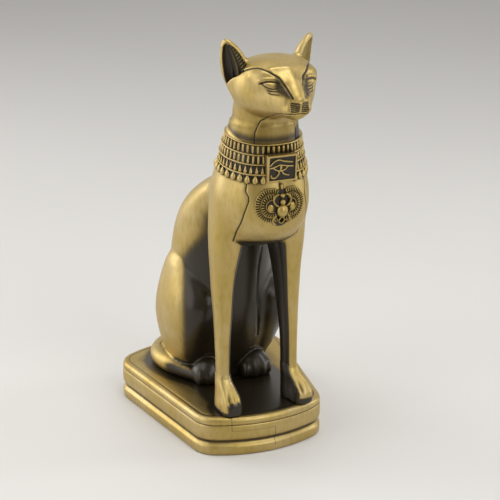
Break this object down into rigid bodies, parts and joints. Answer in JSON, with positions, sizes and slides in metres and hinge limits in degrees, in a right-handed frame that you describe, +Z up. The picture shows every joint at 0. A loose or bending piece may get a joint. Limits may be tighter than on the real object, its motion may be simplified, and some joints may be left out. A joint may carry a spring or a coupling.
{
  "type": "bastet statue",
  "caption": "Small seated cat goddess in a broad collar with a tablet and a winged scarab, cast with a stepped plinth whose ends bow outwards.",
  "frame": {"origin": "centre of the plinth's underside", "axes": "+Z up through the statue, -Y the way the cat faces, X across it"},
  "size_m": [0.0798, 0.1207, 0.1802],
  "materials": {
    "figure_brass": "antique brass plate, rubbed bright on the high places and dark brown in the hollows",
    "plinth_brass": "antique brass plate, satin, dark in the grooves"
  },
  "bodies": {
    "root": {"cat_figure": "figure_brass", "plinth": "plinth_brass"}
  },
  "joints": []
}
